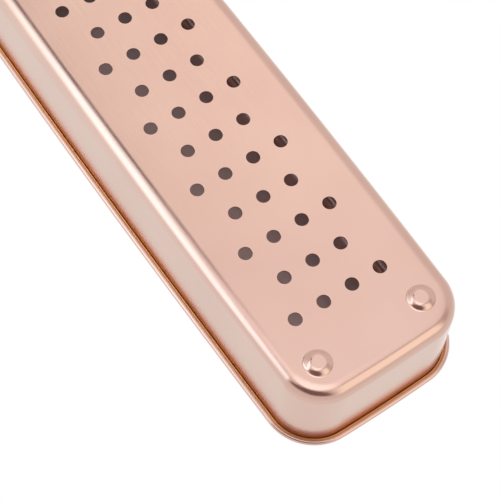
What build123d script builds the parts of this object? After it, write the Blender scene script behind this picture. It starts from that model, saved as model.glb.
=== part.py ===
"""Long cutlery box with a lift-off lid, each pressed from one thin stainless sheet. Millimetres.

+X runs along the box, +Y across it and +Z up. The origin lies under the middle of the walls,
on the surface that the feet stand on.
"""
import os
from math import atan2, degrees, radians, sqrt, tan

from build123d import *

# Walls of the box: outside sizes, taken just under the rim
wall_length = 243.7
wall_width = 73.3
side_bow = 1.5             # how far a long side bows out over the whole length
end_bow = 1.0              # and an end over the whole width
corner_radius = 16.8
box_depth = 37.3           # from the underside of the base to the top of the rim
wall_draft = 0.5           # how far the base stands in from the rim on each side
base_edge_radius = 4.6
base_ease_width = 5.1      # the base begins to rise this far in from the wall
base_ease_turn = 8.0       # by this many degrees
base_ease_radius = 14.0
box_sheet = 0.6

# Curled rim of the box
rim_reach = 2.6            # from the wall to the outermost point of the curl
rim_curl_radius = 1.0
rim_bend_radius = 0.6
rim_curl_turn = 262.0

# Pressed feet
foot_height = 1.1
foot_crest_radius = 3.6
foot_slope_run = 1.7       # how far a foot's slope reaches out from its crest
foot_crest_round = 4.0
foot_root_round = 1.0
foot_spacing_x = 213.5
foot_spacing_y = 43.6
feet_off_centre = 0.3      # the four feet sit this far towards the +Y side

# Drain holes: staggered rows of four and three
hole_radius = 2.5
hole_pitch_across = 12.0
hole_row_pitch = 14.9
hole_rows = 13
holes_off_centre = 0.6     # the whole field sits this far towards the -Y side

# Lid
lid_sheet = 0.6
mouth_clearance = 0.5      # between the lid's channel and the inside of the wall
channel_depth = 4.3
channel_width = 4.2
channel_draft = 0.3
channel_round = 1.6
lid_bend_radius = 0.8
panel_rise = 3.4           # from the rim to the underside of the raised panel
panel_draft = 0.9
panel_round = 2.6
lid_setback = 1.0          # the lid's edge stands in from the rim's edge
lid_curl_radius = 0.9
lid_curl_turn = 235.0

# Spare flat stretch that each swept border shares with the flat sheet inside it
flat_lap = 0.25


base_z = foot_height
rim_z = base_z + box_depth
half_length = wall_length / 2
half_width = wall_width / 2
side_radius = (half_length**2 + side_bow**2) / (2 * side_bow)
end_radius = (half_width**2 + end_bow**2) / (2 * end_bow)


def corner_centre():
    """Centre of a corner's arc, which runs into the bowed side and the bowed end without a kink."""
    side_reach = side_radius - corner_radius
    end_reach = end_radius - corner_radius
    side_centre = Vector(0, half_width - side_radius)
    end_centre = Vector(half_length - end_radius, 0)
    span = end_centre - side_centre
    along = (side_reach**2 - end_reach**2 + span.length**2) / (2 * span.length)
    across = sqrt(side_reach**2 - along**2)
    ahead = span.normalized()
    return side_centre + ahead * along + Vector(ahead.Y, -ahead.X) * across


def outline(offset, z):
    """Closed wire parallel to the wall, with bowed sides and ends, from the middle of the +X end."""
    corner = corner_centre()
    side_y = half_width - side_radius
    end_x = half_length - end_radius
    end_turn = degrees(atan2(corner.Y, corner.X - end_x))
    side_turn = degrees(atan2(corner.Y - side_y, corner.X))
    corner_turn = side_turn - end_turn
    arcs = [
        (end_x, 0, end_radius, 0, end_turn),
        (corner.X, corner.Y, corner_radius, end_turn, corner_turn),
        (0, side_y, side_radius, side_turn, 180 - 2 * side_turn),
        (-corner.X, corner.Y, corner_radius, 180 - side_turn, corner_turn),
        (-end_x, 0, end_radius, 180 - end_turn, 2 * end_turn),
        (-corner.X, -corner.Y, corner_radius, 180 + end_turn, corner_turn),
        (0, -side_y, side_radius, 180 + side_turn, 180 - 2 * side_turn),
        (corner.X, -corner.Y, corner_radius, 360 - side_turn, corner_turn),
        (end_x, 0, end_radius, 360 - end_turn, end_turn),
    ]
    edges = [CenterArc((x, y), radius + offset, start, turn) for x, y, radius, start, turn in arcs]
    return Wire([Edge(edge.wrapped) for edge in edges]).moved(Location((0, 0, z)))


def bent_line(points, radii, curl=None):
    """Line through the points with rounded corners, then, if given, a curl (radius, turn) at its end."""
    bends = FilletPolyline(*points, radius=radii)
    if curl is None:
        return bends
    return bends + JernArc(bends @ 1, bends % 1, *curl)


def sheet_face(points, radii, thickness, curl=None):
    """Cross-section of a bent sheet. The points and radii are those of its right-hand face."""
    points = [Vector(*point) for point in points]
    runs = [(b - a).normalized() for a, b in zip(points, points[1:])]
    lefts = [Vector(-run.Y, run.X) for run in runs]
    far_points = [points[0] + lefts[0] * thickness]
    far_radii = []
    for i, radius in enumerate(radii):
        before, after = lefts[i], lefts[i + 1]
        far_points.append(points[i + 1] + (before + after) * (thickness / (1 + before.dot(after))))
        turns_left = runs[i].cross(runs[i + 1]).Z > 0
        far_radii.append(radius - thickness if turns_left else radius + thickness)
    far_points.append(points[-1] + lefts[-1] * thickness)
    far_curl = None
    if curl is not None:
        radius, turn = curl
        far_curl = (radius - thickness if turn > 0 else radius + thickness, turn)
    near = bent_line(points, radii, curl)
    far = bent_line(far_points, far_radii, far_curl)
    return make_face((near + far + Line(near @ 0, far @ 0) + Line(near @ 1, far @ 1)).edges())


def swept_border(face):
    """Sheet border swept round the wall's outline. The face is drawn as (outward, up) from the rim."""
    section = Plane(origin=(half_length, 0, rim_z), x_dir=(1, 0, 0), z_dir=(0, -1, 0))
    return sweep(section * face, path=outline(0, rim_z))


def flat_sheet(offset, z, thickness):
    return extrude(make_face(outline(offset, z).edges()), amount=thickness, dir=(0, 0, 1))


def box_border():
    ease = radians(base_ease_turn)
    ease_start = -wall_draft - base_ease_width
    flat_end = ease_start - base_ease_radius * tan(ease / 2) - flat_lap
    points = [
        (flat_end, -box_depth),
        (ease_start, -box_depth),
        (-wall_draft, -box_depth + base_ease_width * tan(ease)),
        (0, -box_sheet),
        (rim_reach - rim_curl_radius, -box_sheet),
    ]
    curl = (rim_curl_radius - box_sheet, -rim_curl_turn)
    radii = [base_ease_radius, base_edge_radius, rim_bend_radius]
    face = sheet_face(points, radii, box_sheet, curl)
    return swept_border(face), flat_end


def foot():
    """One pressed foot with a flat ring of the base round it, and the opening it fills, about its centre."""
    root_radius = foot_crest_radius + foot_slope_run
    ring_radius = root_radius + foot_root_round / 2
    points = [
        (0, 0),
        (foot_crest_radius, 0),
        (root_radius, foot_height),
        (ring_radius, foot_height),
    ]
    face = sheet_face(points, [foot_crest_round, foot_root_round], box_sheet)
    dimple = revolve(Plane.XZ * face, axis=Axis.Z)
    opening = Pos(0, 0, foot_height) * Cylinder(ring_radius, 2 * box_sheet)
    return dimple, opening


def drain_holes():
    cutter = Cylinder(hole_radius, 4 * box_sheet)
    centres = []
    for row in range(hole_rows):
        count = 4 if row % 2 == 0 else 3
        x = (row - (hole_rows - 1) / 2) * hole_row_pitch
        for column in range(count):
            y = (column - (count - 1) / 2) * hole_pitch_across - holes_off_centre
            centres.append((x, y, base_z))
    return [Pos(*centre) * cutter for centre in centres]


def box_body():
    border, flat_end = box_border()
    body = border + flat_sheet(flat_end, base_z, box_sheet)
    dimple, opening = foot()
    for x in (-foot_spacing_x / 2, foot_spacing_x / 2):
        for y in (feet_off_centre - foot_spacing_y / 2, feet_off_centre + foot_spacing_y / 2):
            body = body - Pos(x, y, 0) * opening + Pos(x, y, 0) * dimple
    return body - drain_holes()


def lid():
    plug = -box_sheet - mouth_clearance
    plug_foot = plug - channel_draft
    channel_inside = plug_foot - channel_width
    panel_edge = channel_inside - panel_draft
    flat_end = panel_edge - panel_round - flat_lap
    points = [
        (flat_end, panel_rise),
        (panel_edge, panel_rise),
        (channel_inside, -channel_depth),
        (plug_foot, -channel_depth),
        (plug, 0),
        (rim_reach - lid_setback - lid_curl_radius, 0),
    ]
    radii = [panel_round, channel_round, channel_round, lid_bend_radius]
    face = sheet_face(points, radii, lid_sheet, (lid_curl_radius, lid_curl_turn))
    return swept_border(face) + flat_sheet(flat_end, rim_z + panel_rise, lid_sheet)


def main():
    os.makedirs("parts", exist_ok=True)
    for name, build in (("box_body", box_body), ("lid", lid)):
        solids = build().solids()
        shape = solids[0] if len(solids) == 1 else Compound(children=solids)
        shape.label = name
        export_step(shape, f"parts/{name}.step")
        print(name, len(solids), "solid, volume", round(shape.volume, 1), "mm3, valid", shape.is_valid)


main()
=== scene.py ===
"""Looks of a long cutlery box with a lift-off lid, both pressed from satin rose gold steel sheet.

+X runs along the box, +Y across it and +Z up. Sheet sizes are in millimetres, as in the part's
own drawing, and everything that Blender gets is in metres.
"""
from collections import namedtuple
from math import atan2, ceil, cos, pi, radians, sin, sqrt, tan

import bpy
from mathutils import Matrix, Vector
from mathutils.geometry import delaunay_2d_cdt


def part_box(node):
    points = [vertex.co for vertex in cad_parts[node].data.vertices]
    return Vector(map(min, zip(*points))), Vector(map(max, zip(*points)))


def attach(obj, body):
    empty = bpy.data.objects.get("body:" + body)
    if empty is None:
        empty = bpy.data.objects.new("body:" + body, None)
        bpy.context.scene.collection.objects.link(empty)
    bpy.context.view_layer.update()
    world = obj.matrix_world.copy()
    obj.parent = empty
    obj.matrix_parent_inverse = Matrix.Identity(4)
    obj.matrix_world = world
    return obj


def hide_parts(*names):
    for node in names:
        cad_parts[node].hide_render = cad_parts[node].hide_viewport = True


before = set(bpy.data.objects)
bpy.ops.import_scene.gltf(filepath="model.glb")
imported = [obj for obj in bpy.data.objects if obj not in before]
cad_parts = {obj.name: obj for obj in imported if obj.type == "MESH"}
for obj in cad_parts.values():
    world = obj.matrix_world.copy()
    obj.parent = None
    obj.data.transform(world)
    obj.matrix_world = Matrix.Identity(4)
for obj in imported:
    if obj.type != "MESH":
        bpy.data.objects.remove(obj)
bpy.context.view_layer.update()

MM = 0.001

# Sheet of the box, in millimetres
box_sheet = 0.6
wall_draft = 0.5           # how far the base stands in from the rim on each side
base_edge_radius = 4.6
base_ease_width = 5.1      # the base begins to rise this far in from the wall
base_ease_turn = 8.0       # by this many degrees
base_ease_radius = 14.0
side_bow = 1.5             # how far a long side bows out over the whole length
end_bow = 1.0              # and an end over the whole width
corner_radius = 16.8
rim_reach = 2.6            # from the wall to the outermost point of the curl
rim_curl_radius = 1.0
rim_bend_radius = 0.6
rim_curl_turn = 262.0

# Pressed feet
foot_height = 1.1
foot_crest_radius = 3.3
foot_slope_run = 1.5       # how far a foot's slope reaches out from its crest
foot_crest_round = 3.6
foot_root_round = 2.0
foot_spacing_x = 213.5
foot_spacing_y = 43.6
feet_off_centre = 0.3      # the four feet sit this far towards the +Y side

# Drain holes: staggered rows of four and three
hole_radius = 2.5
hole_lip = 0.14            # rounding that the punch leaves round each hole
hole_pitch_across = 12.0
hole_row_pitch = 14.9
hole_rows = 13
holes_off_centre = 0.6     # the grid of holes sits this far towards the -Y side

# Sheet of the lid
lid_sheet = 0.6
mouth_clearance = 0.5
channel_depth = 4.3
channel_width = 4.2
channel_draft = 0.3
channel_round = 1.6
lid_bend_radius = 0.8
panel_draft = 0.9
panel_round = 2.6
lid_setback = 1.0
lid_curl_radius = 0.9
lid_curl_turn = 235.0

flat_lap = 0.25             # flat stretch between a bend and the flat sheet inside it

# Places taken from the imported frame
box_low, box_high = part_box("box_body")
_, lid_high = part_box("lid")
rim_z = box_high.z / MM
base_z = box_low.z / MM + foot_height
box_depth = rim_z - base_z
half_length = box_high.x / MM - rim_reach
half_width = box_high.y / MM - rim_reach
panel_rise = lid_high.z / MM - lid_sheet - rim_z

# Fineness of the meshes
BEND_STEP = radians(9)
CORNER_STEPS = 26
SIDE_STEPS = 14
END_STEPS = 12
HOLE_STEPS = 36
LIP_STEPS = 3
FOOT_STEPS = 56
CAP_STEPS = 4

# How a flat sheet is cut into triangles: only inside its border, with points this close as one
INSIDE_ONLY = 1
MERGE_DISTANCE = 1e-9

# Camera: where it stands, the point of the base that it looks at, and which way is up
camera_place = Vector((-253.1, -181.2, -512.5)) * MM
camera_aim = Vector((-59.41, -16.51, 1.1)) * MM
camera_up = Vector((0.74939, 0.49391, -0.44099))
camera_lens = 119.285
camera_sensor = 36.0
camera_near = 0.01         # in metres

# Painted reflection in the crease under the rim: a warmer gold stands in for light bounced between wall and
# rim
rim_crease = Vector((0.35, -0.9))    # its middle, as (outward, up) from the rim
painted_reflection_reach = 1.3                     # it fades out this far from its middle
wall_stops = (2.0, 1.5, 1.1, 0.7)    # the wall has loops this far below its top, for the fading

# Coating: its colours, with the warm gold of the painted reflection in the crease, the noise that varies
# them, and its roughness
darker_gold = (0.730, 0.475, 0.395, 1)
paler_gold = (0.775, 0.520, 0.435, 1)
# Painted reflection: colour of the warm light bounced into the crease under the rim
painted_crease_reflection = (0.98, 0.70, 0.44, 1)
full_painted_reflection = 0.8          # from here on, the crease has all of the painted reflection's colour
cloud_scale = 22.0
cloud_detail = 2.0
grain_scale = (60.0, 1900.0, 1900.0)
grain_detail = 3.0
grain_breakup = 0.6
cloud_share = 0.8          # how much of the colour's change is cloud
grain_share = 0.2          # and how much is grain
noise_range = (0.3, 0.7)   # the noise counts between these values
roughness_range = (0.17, 0.23)
hidden_roughness = 0.18    # added on the hidden side, which begins between the two values below
inside_turn = (-0.01, -0.03)   # metres from the box's middle out to the surface, less than 0 inside
underside_turn = (-0.3, 0.3)   # how far the surface faces down
bump_strength = 0.03
bump_depth = 0.0002        # in metres

# Floor, in metres: how far it reaches, and between which distances from the middle it fades out
floor_reach = 3.0
floor_fade = (0.35, 1.6)
floor_colour = (1.0, 0.975, 0.975, 1)

# Plain light of the studio, and the heights of direction between which one turns into the other
light_below = (0.82, 0.80, 0.79, 1)
light_above = (0.89, 0.92, 0.91, 1)
light_turn = (-0.15, 0.4)

# Lamp inside the box: how bright it is, where 1 is white, and its colour
fill_level = 0.12
fill_colour = (0.82, 1.05, 1.35)


class Shell:
    """One mesh grown from points that bring the direction of their surface with them."""

    def __init__(self):
        self.points = []
        self.directions = []
        # How much painted reflection each point gets, in the crease under the rim
        self.painted_reflection = []
        self.faces = []

    def add(self, point, direction, painted_reflection=0.0):
        self.points.append(Vector(point) * MM)
        self.directions.append(Vector(direction).normalized())
        self.painted_reflection.append(painted_reflection)
        return len(self.points) - 1

    def bridge(self, first, second):
        """Closed band of quads between two loops of as many points."""
        count = len(first)
        for i in range(count):
            j = (i + 1) % count
            self.faces.append((first[i], first[j], second[j], second[i]))

    def fan(self, centre, loop):
        for i in range(len(loop)):
            self.faces.append((loop[i], loop[(i + 1) % len(loop)], centre))

    def fill(self, border, openings, facing):
        """Flat sheet inside a border loop and outside the opening loops."""
        loops = [border] + openings
        index = [i for loop in loops for i in loop]
        flat = [self.points[i].xy for i in index]
        edges = []
        start = 0
        for loop in loops:
            count = len(loop)
            edges += [(start + i, start + (i + 1) % count) for i in range(count)]
            start += count
        owners = [number for number, loop in enumerate(loops) for i in loop]
        made = delaunay_2d_cdt(flat, edges, [], INSIDE_ONLY, MERGE_DISTANCE)
        triangles, origins = made[2], made[3]
        sources = [index[origin[0]] for origin in origins]
        for triangle in triangles:
            touched = {owners[origins[i][0]] for i in triangle}
            # A triangle with all its corners on one opening's loop lies in that opening
            if len(touched) == 1 and 0 not in touched:
                continue
            face = [sources[i] for i in triangle]
            a, b, c = (self.points[i] for i in face)
            if (b - a).cross(c - a).z * facing < 0:
                face.reverse()
            self.faces.append(tuple(face))

    def piece(self, name, body, node, material):
        mesh = bpy.data.meshes.new(name)
        mesh.from_pydata([tuple(p) for p in self.points], [], self.faces)
        mesh.polygons.foreach_set("use_smooth", [True] * len(mesh.polygons))
        mesh.validate()
        mesh.update()
        mesh.normals_split_custom_set_from_vertices([tuple(d) for d in self.directions])
        # Share of painted reflection at each point, read by the material
        painted_reflection = mesh.attributes.new("painted_reflection", "FLOAT", "POINT")
        painted_reflection.data.foreach_set("value", self.painted_reflection)
        mesh.materials.append(material)
        obj = bpy.data.objects.new(name, mesh)
        bpy.context.scene.collection.objects.link(obj)
        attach(obj, body)
        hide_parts(node)


def turned(vector, angle):
    x = vector.x * cos(angle) - vector.y * sin(angle)
    y = vector.x * sin(angle) + vector.y * cos(angle)
    return Vector((x, y))


def bend(centre, spoke, turn):
    """Points of an arc with their left-hand directions; a positive turn is to the left."""
    steps = max(2, ceil(abs(turn) / BEND_STEP))
    radius = spoke.length
    side = -1 if turn > 0 else 1
    made = []
    for i in range(steps + 1):
        arm = turned(spoke, turn * i / steps)
        made.append((centre + arm, arm * (side / radius)))
    return made


def bent_line(points, radii, curl=None):
    """Points along a line with rounded corners, and a curl at its end, each with its left-hand direction.

    A corner with a radius of zero is a stop on a straight run.
    """
    points = [Vector(p) for p in points]
    runs = [(b - a).normalized() for a, b in zip(points, points[1:])]
    lefts = [Vector((-run.y, run.x)) for run in runs]
    line = [(points[0], lefts[0])]
    for corner, before, after, left, radius in zip(points[1:], runs, runs[1:], lefts, radii):
        if radius == 0:
            line.append((corner, left))
            continue
        turn = atan2(before.x * after.y - before.y * after.x, before.dot(after))
        side = 1 if turn > 0 else -1
        start = corner - before * (radius * tan(abs(turn) / 2))
        centre = start + left * (radius * side)
        line += bend(centre, start - centre, turn)
    line.append((points[-1], lefts[-1]))
    if curl is not None:
        radius, turn = curl
        centre = points[-1] + lefts[-1] * (radius if turn > 0 else -radius)
        line += bend(centre, points[-1] - centre, turn)[1:]
    return line


def outline():
    """The wall's outline as (point, outward direction) pairs: bowed ends and sides, round corners."""
    side_radius = (half_length**2 + side_bow**2) / (2 * side_bow)
    end_radius = (half_width**2 + end_bow**2) / (2 * end_bow)
    side_centre = Vector((0, half_width - side_radius))
    end_centre = Vector((half_length - end_radius, 0))
    side_reach = side_radius - corner_radius
    span = end_centre - side_centre
    along = (side_reach**2 - (end_radius - corner_radius) ** 2 + span.length_squared) / (2 * span.length)
    across = sqrt(side_reach**2 - along**2)
    ahead = span.normalized()
    corner = side_centre + ahead * along + Vector((ahead.y, -ahead.x)) * across
    end_turn = atan2(corner.y, corner.x - end_centre.x)
    side_turn = atan2(corner.y - side_centre.y, corner.x)
    corner_turn = side_turn - end_turn
    stations = []

    def arc(centre_x, centre_y, radius, start, size, steps):
        for i in range(steps):
            angle = start + size * i / steps
            out = Vector((cos(angle), sin(angle)))
            stations.append((Vector((centre_x, centre_y)) + out * radius, out))

    for side in (1, -1):
        start = 0 if side == 1 else pi
        arc(end_centre.x * side, 0, end_radius, start - end_turn, 2 * end_turn, END_STEPS)
        arc(corner.x * side, corner.y * side, corner_radius, start + end_turn, corner_turn, CORNER_STEPS)
        arc(0, side_centre.y * side, side_radius, start + side_turn, pi - 2 * side_turn, SIDE_STEPS)
        next_start = start + pi - side_turn
        arc(-corner.x * side, corner.y * side, corner_radius, next_start, corner_turn, CORNER_STEPS)
    return stations


def swept_loop(shell, stations, point, direction):
    """One loop round the box, for a section point given as (outward, up) from the rim."""
    # Share of painted reflection: full at the crease's middle, fading out with distance from it
    painted_reflection = max(0.0, 1 - (point - rim_crease).length / painted_reflection_reach)
    loop = []
    for place, out in stations:
        spot = place + out * point.x
        way = out * direction.x
        loop.append(shell.add((spot.x, spot.y, rim_z + point.y), (way.x, way.y, direction.y), painted_reflection))
    return loop


def swept_sheet(shell, line, thickness):
    """Both faces and the raw edge of a bent sheet swept round the box. Returns its two inner loops."""
    stations = outline()
    near = [swept_loop(shell, stations, point, -left) for point, left in line]
    far = [swept_loop(shell, stations, point + left * thickness, left) for point, left in line]
    end, left = line[-1]
    middle = end + left * (thickness / 2)
    ahead = turned(left, -pi / 2)
    cap = []
    for i in range(1, CAP_STEPS):
        angle = pi * i / CAP_STEPS
        way = ahead * sin(angle) - left * cos(angle)
        cap.append(swept_loop(shell, stations, middle + way * (thickness / 2), way))
    bands = near + cap + far[::-1]
    for first, second in zip(bands, bands[1:]):
        shell.bridge(first, second)
    return near[0], far[0]


def ring(shell, centre_x, centre_y, radius, z, outward, up, steps):
    """Level round loop, whose surface faces this much outward and this much up."""
    loop = []
    for i in range(steps):
        angle = 2 * pi * i / steps
        x, y = cos(angle), sin(angle)
        loop.append(shell.add(
            (centre_x + radius * x, centre_y + radius * y, z),
            (outward * x, outward * y, up),
        ))
    return loop


def drain_hole(shell, x, y):
    """Round hole with a softened lip on both faces. Returns its loop in the lower and upper face."""
    loops = []
    for face_z, side in ((base_z, 1), (base_z + box_sheet, -1)):
        part = []
        for step in range(LIP_STEPS + 1):
            angle = (pi / 2) * step / LIP_STEPS
            radius = hole_radius + hole_lip * (1 - sin(angle))
            z = face_z + side * hole_lip * (1 - cos(angle))
            part.append(ring(shell, x, y, radius, z, -sin(angle), -side * cos(angle), HOLE_STEPS))
        loops.append(part)
    bands = loops[0] + loops[1][::-1]
    for first, second in zip(bands, bands[1:]):
        shell.bridge(second, first)
    return loops[0][0], loops[1][0]


def foot(shell, x, y):
    """Pressed foot. Returns the loops where it meets the lower and upper face of the base."""
    root_radius = foot_crest_radius + foot_slope_run
    ring_radius = root_radius + foot_root_round / 2
    line = bent_line(
        [(0, 0), (foot_crest_radius, 0), (root_radius, foot_height), (ring_radius, foot_height)],
        [foot_crest_round, foot_root_round],
    )
    ends = []
    for offset, side in ((0, -1), (box_sheet, 1)):
        centre = shell.add((x, y, offset), (0, 0, side))
        loops = []
        for point, left in line[1:]:
            spot = point + left * offset
            way = left * side
            loops.append(ring(shell, x, y, spot.x, spot.y, way.x, way.y, FOOT_STEPS))
        for first, second in zip(loops, loops[1:]):
            if side < 0:
                shell.bridge(first, second)
            else:
                shell.bridge(second, first)
        shell.fan(centre, loops[0][::-1] if side < 0 else loops[0])
        ends.append(loops[-1])
    return ends


def hole_centres():
    """Places of the holes, in rows of four and three by turns."""
    centres = []
    for row in range(hole_rows):
        count = 4 if row % 2 == 0 else 3
        x = (row - (hole_rows - 1) / 2) * hole_row_pitch
        for column in range(count):
            centres.append((x, (column - (count - 1) / 2) * hole_pitch_across - holes_off_centre))
    return centres


def box_shell(material):
    """The box: base, feet, holes, walls and curled rim in one sheet."""
    shell = Shell()
    ease = radians(base_ease_turn)
    ease_start = -wall_draft - base_ease_width
    flat_end = ease_start - base_ease_radius * tan(ease / 2) - flat_lap
    wall_foot = Vector((-wall_draft, -box_depth + base_ease_width * tan(ease)))
    wall_top = Vector((0, -box_sheet))
    up_wall = (wall_top - wall_foot).normalized()
    line = bent_line(
        [
            (flat_end, -box_depth),
            (ease_start, -box_depth),
            wall_foot,
            *(wall_top - up_wall * stop for stop in wall_stops),
            wall_top,
            (rim_reach - rim_curl_radius, -box_sheet),
        ],
        [base_ease_radius, base_edge_radius, *(0 for stop in wall_stops), rim_bend_radius],
        (rim_curl_radius - box_sheet, -radians(rim_curl_turn)),
    )
    lower_border, upper_border = swept_sheet(shell, line, box_sheet)
    openings = [drain_hole(shell, x, y) for x, y in hole_centres()]
    for x in (-foot_spacing_x / 2, foot_spacing_x / 2):
        for y in (feet_off_centre - foot_spacing_y / 2, feet_off_centre + foot_spacing_y / 2):
            openings.append(foot(shell, x, y))
    shell.fill(lower_border, [pair[0] for pair in openings], -1)
    shell.fill(upper_border, [pair[1] for pair in openings], 1)
    shell.piece("box_shell", "box", "box_body", material)


def lid_shell(material):
    """The lid: raised panel, channel and curled flange in one sheet."""
    shell = Shell()
    plug = -box_sheet - mouth_clearance
    plug_foot = plug - channel_draft
    channel_inside = plug_foot - channel_width
    panel_edge = channel_inside - panel_draft
    flat_end = panel_edge - panel_round - flat_lap
    line = bent_line(
        [
            (flat_end, panel_rise),
            (panel_edge, panel_rise),
            (channel_inside, -channel_depth),
            (plug_foot, -channel_depth),
            (plug, 0),
            (rim_reach - lid_setback - lid_curl_radius, 0),
        ],
        [panel_round, channel_round, channel_round, lid_bend_radius],
        (lid_curl_radius, radians(lid_curl_turn)),
    )
    lower_border, upper_border = swept_sheet(shell, line, lid_sheet)
    shell.fill(lower_border, [], -1)
    shell.fill(upper_border, [], 1)
    shell.piece("lid_shell", "lid", "lid", material)


class Nodes:
    """Short way to add and join shader nodes."""

    def __init__(self, tree):
        self.tree = tree
        tree.nodes.clear()

    def add(self, kind, inputs=None, **settings):
        node = self.tree.nodes.new(kind)
        for name, value in settings.items():
            setattr(node, name, value)
        for name, value in (inputs or {}).items():
            self.set(node, name, value)
        return node

    def set(self, node, name, value):
        if isinstance(value, bpy.types.NodeSocket):
            self.tree.links.new(value, node.inputs[name])
        else:
            node.inputs[name].default_value = value

    def math(self, operation, *values):
        node = self.add("ShaderNodeMath", operation=operation)
        for i, value in enumerate(values):
            self.set(node, i, value)
        return node.outputs[0]

    def blend(self, share, first, second):
        """The first colour, with this share of the second."""
        return self.add("ShaderNodeMix", {0: share, 6: first, 7: second}, data_type="RGBA").outputs[2]

    def dot(self, vector, direction):
        node = self.add("ShaderNodeVectorMath", {0: vector, 1: direction}, operation="DOT_PRODUCT")
        return node.outputs["Value"]

    def spread(self, value, low, high, first=0.0, last=1.0, kind="LINEAR"):
        """The range from low to high, spread over the range from first to last."""
        ends = {"From Min": low, "From Max": high, "To Min": first, "To Max": last}
        node = self.add("ShaderNodeMapRange", {"Value": value, **ends}, interpolation_type=kind)
        return node.outputs["Result"]

    def smooth(self, value, low, high):
        return self.spread(value, low, high, kind="SMOOTHSTEP")


def rose_gold(name, hidden_side):
    """Satin rose gold coating: even colour, faint drawing lines along the sheet and soft cloudiness, with a
    painted reflection in warmer gold in the crease under the rim.

    It is duller on the side that isn't polished: the "inside" of the walls, or the "underside".
    """
    material = bpy.data.materials.new(name)
    material.use_nodes = True
    nodes = Nodes(material.node_tree)
    place = nodes.add("ShaderNodeTexCoord").outputs["Object"]
    grain_place = nodes.add("ShaderNodeMapping", {"Vector": place, "Scale": grain_scale}).outputs[0]
    grain = nodes.add(
        "ShaderNodeTexNoise",
        {"Vector": grain_place, "Scale": 1.0, "Detail": grain_detail, "Roughness": grain_breakup},
    ).outputs[0]
    cloud = nodes.add(
        "ShaderNodeTexNoise",
        {"Vector": place, "Scale": cloud_scale, "Detail": cloud_detail},
    ).outputs[0]
    cloud_part = nodes.math("MULTIPLY", cloud, cloud_share)
    grain_part = nodes.math("MULTIPLY", grain, grain_share)
    colour = nodes.add("ShaderNodeValToRGB", {"Fac": nodes.math("ADD", cloud_part, grain_part)})
    stops = colour.color_ramp.elements
    for stop, position, gold in zip(stops, noise_range, (darker_gold, paler_gold)):
        stop.position = position
        stop.color = gold
    # Painted reflection: warmer gold in the crease under the rim, where light bounces between wall and rim
    painted_reflection = nodes.add("ShaderNodeAttribute", attribute_name="painted_reflection").outputs["Fac"]
    painted_reflection_share = nodes.smooth(painted_reflection, 0.0, full_painted_reflection)
    gold_with_painted_reflection = nodes.blend(painted_reflection_share, colour.outputs["Color"], painted_crease_reflection)
    normal = nodes.add("ShaderNodeNewGeometry").outputs["Normal"]
    if hidden_side == "inside":
        hidden = nodes.smooth(nodes.dot(normal, place), *inside_turn)
    else:
        hidden = nodes.smooth(nodes.dot(normal, (0, 0, -1)), *underside_turn)
    polished = nodes.spread(grain, *noise_range, *roughness_range)
    roughness = nodes.math("ADD", polished, nodes.math("MULTIPLY", hidden, hidden_roughness))
    bump = nodes.add(
        "ShaderNodeBump",
        {"Height": grain, "Strength": bump_strength, "Distance": bump_depth},
    )
    shader = nodes.add(
        "ShaderNodeBsdfPrincipled",
        {
            "Base Color": gold_with_painted_reflection,
            "Metallic": 1.0,
            "Roughness": roughness,
            "Normal": bump.outputs["Normal"],
        },
    )
    nodes.add("ShaderNodeOutputMaterial", {"Surface": shader.outputs[0]})
    return material


def floor():
    """Pale floor that is seen from above only. It takes the box's shadow, and lets light through."""
    mesh = bpy.data.meshes.new("floor")
    signs = ((-1, -1), (1, -1), (1, 1), (-1, 1))
    mesh.from_pydata([(x * floor_reach, y * floor_reach, 0) for x, y in signs], [], [(0, 1, 2, 3)])
    material = bpy.data.materials.new("pale_floor")
    material.use_nodes = True
    nodes = Nodes(material.node_tree)
    place = nodes.add("ShaderNodeTexCoord").outputs["Object"]
    distance = nodes.add("ShaderNodeVectorMath", {0: place}, operation="LENGTH").outputs["Value"]
    under = nodes.add("ShaderNodeNewGeometry").outputs["Backfacing"]
    fade = nodes.math("MAXIMUM", under, nodes.smooth(distance, *floor_fade))
    pale = nodes.add("ShaderNodeBsdfDiffuse", {"Color": floor_colour})
    clear = nodes.add("ShaderNodeBsdfTransparent")
    mix = nodes.add("ShaderNodeMixShader", {0: fade, 1: pale.outputs[0], 2: clear.outputs[0]})
    nodes.add("ShaderNodeOutputMaterial", {"Surface": mix.outputs[0]})
    mesh.materials.append(material)
    obj = bpy.data.objects.new("floor", mesh)
    bpy.context.scene.collection.objects.link(obj)
    obj.visible_diffuse = False
    obj.visible_glossy = False
    obj.visible_transmission = False
    obj.visible_shadow = False


def below(*places):
    """Directions of places one unit below the object, each given as x and y."""
    return [Vector((x, y, -1)).normalized() for x, y in places]


def around(*places):
    """Directions given as azimuth and elevation in degrees."""
    turns = [(radians(azimuth), radians(elevation)) for azimuth, elevation in places]
    return [Vector((cos(side) * cos(rise), sin(side) * cos(rise), sin(rise))) for side, rise in turns]


Card = namedtuple("Card", "corners softness colour")


def cards_around():
    """Wide, soft cards that stand round the box."""
    behind = around((45, 25), (45, 65), (105, 65), (105, 25))
    in_front = around((-75, 60), (-75, -30), (-48, -30), (-48, 60))
    low_shade = around((-172, -27), (-80, -27), (-80, -50), (-172, -50))
    return [
        Card(behind, softness=0.15, colour=(1.0, 1.05, 1.07)),
        Card(in_front, softness=0.08, colour=(0.97, 1.05, 1.1)),
        Card(low_shade, softness=0.15, colour=(0.5, 0.43, 0.42)),
    ]


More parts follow.
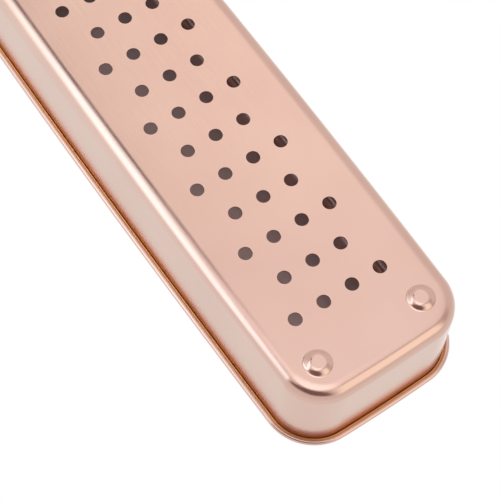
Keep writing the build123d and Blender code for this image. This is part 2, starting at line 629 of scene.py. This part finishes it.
def shades_and_lights_below():
    """Large fields of shade and light under the box, to the front, back and side."""
    front_shade = below((-0.22, -0.03), (-0.1, -0.3), (0.12, -0.5), (0.42, -1.5), (-1.1, -1.2), (-1.5, -0.2))
    back_shade = below((0.05, 0.5), (-0.15, 0.3), (-1.9, 1.9), (-0.8, 2.0))
    back_light = below((-0.25, 0.45), (-0.25, 0.15), (-2.7, 0.1), (-2.3, 1.9))
    side_light = below((0.62, -0.85), (3.0, -0.7), (3.2, -1.8), (0.75, -1.9))
    side_shade = below((0.66, 0.2), (0.68, -0.06), (1.1, -0.5), (2.4, -0.6), (2.4, 0.1))
    middle_shade = below((-0.16, 0.4), (-0.16, 0.0), (0.2, -0.62), (0.76, -0.12), (0.76, 0.14))
    return [
        Card(front_shade, softness=0.05, colour=(0.2, 0.12, 0.12)),
        Card(back_shade, softness=0.08, colour=(0.62, 0.54, 0.50)),
        Card(back_light, softness=0.1, colour=(1.28, 1.26, 1.14)),
        Card(side_light, softness=0.08, colour=(1.1, 1.15, 1.15)),
        Card(side_shade, softness=0.06, colour=(0.64, 0.56, 0.52)),
        Card(middle_shade, softness=0.03, colour=(0.36, 0.27, 0.25)),
    ]


def ceiling_below():
    """Pale ceiling with a brighter patch, and the dark gap along its edge."""
    ceiling = below((-0.1, 0.46), (0.0, 0.1), (0.66, 0.16), (0.76, 0.3), (0.7, 0.62), (0.1, 0.68))
    patch = below((0.38, 0.24), (0.38, 0.62), (0.72, 0.62), (0.72, 0.24))
    gap = below((0.36, 0.05), (0.7, 0.05), (0.7, 0.24), (0.4, 0.235))
    return [
        Card(ceiling, softness=0.05, colour=(1.03, 1.03, 1.05)),
        Card(patch, softness=0.06, colour=(1.19, 1.17, 1.13)),
        Card(gap, softness=0.02, colour=(0.07, 0.02, 0.02)),
    ]


def lamp_below():
    """Round lamp and the glow beside it."""
    glow = below((0.1, 0.15), (0.36, 0.1), (0.37, -0.02), (0.26, -0.5), (0.1, -0.48), (0.06, -0.1))
    lamp = below(
        (-0.1, 0.26), (-0.17, 0.02), (-0.09, -0.2), (0.06, -0.26), (0.2, -0.16), (0.27, 0.04), (0.2, 0.25),
    )
    return [
        Card(glow, softness=0.03, colour=(1.12, 1.05, 1.05)),
        Card(lamp, softness=0.045, colour=(1.6, 1.65, 1.7)),
    ]


def strip_below():
    """Long bright strip, its dimmer far end and the light beside it."""
    beside = below((0.6, -0.1), (0.98, -0.5), (1.1, -1.2), (0.6, -1.5))
    far_end = below((0.45, -1.3), (0.82, -1.3), (1.2, -3.0), (0.8, -3.1))
    strip = below(
        (0.42, 0.04), (0.64, 0.04), (0.72, -0.5), (0.78, -1.3), (0.6, -1.9), (0.3, -1.2), (0.33, -0.5),
    )
    return [
        Card(beside, softness=0.05, colour=(1.3, 1.35, 1.3)),
        Card(far_end, softness=0.03, colour=(1.5, 1.7, 1.8)),
        Card(strip, softness=0.03, colour=(1.75, 2.12, 2.35)),
    ]


def studio_cards():
    """All cards in the order in which they are laid, each over those before it."""
    return [
        *cards_around(),
        *shades_and_lights_below(),
        *ceiling_below(),
        *lamp_below(),
        *strip_below(),
    ]


def surroundings():
    """White studio. Soft-edged cards of light and shade give the steel its reflections."""
    world = bpy.data.worlds.new("studio")
    bpy.context.scene.world = world
    world.use_nodes = True
    nodes = Nodes(world.node_tree)
    way = nodes.add("ShaderNodeTexCoord").outputs["Generated"]

    def laid(card, light):
        """The light with the card's colour inside its corners, in place of what was there."""
        middle = sum(card.corners, Vector((0, 0, 0)))
        inside = 1.0
        for first, second in zip(card.corners, card.corners[1:] + card.corners[:1]):
            inward = first.cross(second).normalized()
            if inward.dot(middle) < 0:
                inward.negate()
            edge = nodes.smooth(nodes.dot(way, inward), -card.softness, card.softness)
            inside = nodes.math("MULTIPLY", inside, edge)
        return nodes.blend(inside, light, (*card.colour, 1))

    height = nodes.dot(way, (0, 0, 1))
    light = nodes.blend(nodes.smooth(height, *light_turn), light_below, light_above)
    for card in studio_cards():
        light = laid(card, light)
    studio = nodes.add("ShaderNodeBackground", {"Color": light, "Strength": 1.0})
    plain = nodes.add("ShaderNodeBackground", {"Color": (1, 1, 1, 1), "Strength": 1.0})
    seen = nodes.add("ShaderNodeLightPath").outputs["Is Camera Ray"]
    mix = nodes.add("ShaderNodeMixShader", {0: seen, 1: studio.outputs[0], 2: plain.outputs[0]})
    nodes.add("ShaderNodeOutputWorld", {"Surface": mix.outputs[0]})


def inside_fill():
    """Dim lamp lying in the box and shining up, so that its inside isn't black through the holes."""
    data = bpy.data.lights.new("inside_fill", "AREA")
    data.shape = "RECTANGLE"
    data.size = 2 * (half_length - corner_radius) * MM
    data.size_y = 2 * (half_width - base_edge_radius) * MM
    # The power that makes the lamp's face as bright as fill_level
    data.energy = fill_level * pi * data.size * data.size_y
    data.color = fill_colour
    obj = bpy.data.objects.new("inside_fill", data)
    bpy.context.scene.collection.objects.link(obj)
    # A sheet's thickness above the floor of the box
    obj.location.z = (base_z + 2 * box_sheet) * MM
    obj.rotation_euler.x = pi
    obj.visible_camera = False


def camera():
    """The photo's camera, which looks up at the base."""
    data = bpy.data.cameras.new("camera")
    data.lens = camera_lens
    data.sensor_width = camera_sensor
    data.clip_start = camera_near
    obj = bpy.data.objects.new("camera", data)
    bpy.context.scene.collection.objects.link(obj)
    back = (camera_place - camera_aim).normalized()
    right = camera_up.cross(back).normalized()
    up = back.cross(right)
    turn = Matrix((right, up, back)).transposed()
    obj.matrix_world = Matrix.Translation(camera_place) @ turn.to_4x4()
    bpy.context.scene.camera = obj


box_shell(rose_gold("rose_gold_box", "inside"))
lid_shell(rose_gold("rose_gold_lid", "underside"))
floor()
surroundings()
inside_fill()
camera()
bpy.context.scene.view_settings.view_transform = "Standard"
